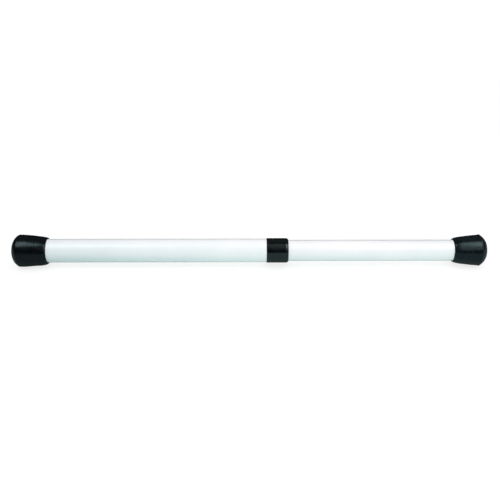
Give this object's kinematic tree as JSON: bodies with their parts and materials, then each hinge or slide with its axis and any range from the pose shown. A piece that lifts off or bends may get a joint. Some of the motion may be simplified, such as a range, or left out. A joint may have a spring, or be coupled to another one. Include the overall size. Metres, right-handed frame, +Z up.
{
  "type": "telescoping swing trainer stick",
  "caption": "Straight two-section telescoping stick with a black collar, an internal twist lock and a flared rubber tip on each end, for golf swing and stretching drills.",
  "frame": {"origin": "centre of the flat foot of the rubber tip on the thick section", "axes": "+X along the stick from the thick section's tip towards the thin section's tip; +Z up as the stick lies; +Y completes the right-handed set"},
  "size_m": [0.569, 0.039, 0.039],
  "materials": {
    "white_coat": "gloss white powder coat on steel tube",
    "tip_rubber": "satin moulded rubber",
    "collar_plastic": "black moulded nylon, semi-gloss",
    "insert_plastic": "black polyethylene",
    "nylon": "natural nylon",
    "zinc_steel": "zinc-plated steel",
    "spring_steel": "oiled spring steel",
    "o_ring_rubber": "nitrile O-ring"
  },
  "bodies": {
    "outer_section": {"outer_tube": "white_coat", "collar": "collar_plastic", "outer_tube_plug": "insert_plastic", "outer_tip_washer": "zinc_steel", "outer_tip": "tip_rubber"},
    "guide": {"glide_ring": "nylon"},
    "inner_section": {"inner_tube": "white_coat", "stop_sleeve": "nylon", "lock_plug": "nylon", "lock_rivets": "zinc_steel", "cam_washer": "zinc_steel", "cam_screw": "zinc_steel", "swing_weight": "zinc_steel", "weight_o_rings": "o_ring_rubber", "weight_stop_ring": "spring_steel", "inner_tube_plug": "insert_plastic", "inner_tip_washer": "zinc_steel", "inner_tip": "tip_rubber"},
    "cam": {"cam_ring": "nylon"}
  },
  "joints": [
    {"name": "extend", "type": "slide", "parent": "outer_section", "child": "guide", "axis": [1, 0, 0], "range_m": [-0.198, 0.01]},
    {"name": "twist", "type": "hinge", "parent": "guide", "child": "inner_section", "pos_m": [0.247, 0, 0], "axis": [1, 0, 0], "range_deg": [-90, 0]},
    {"name": "cam_turn", "type": "hinge", "parent": "inner_section", "child": "cam", "pos_m": [0.2355, 0.00038, -0.00092], "axis": [1, 0, 0], "range_deg": [0, 90]}
  ],
  "couplings": [
    {"joint": "cam_turn", "follows": "twist", "ratio": -1}
  ]
}
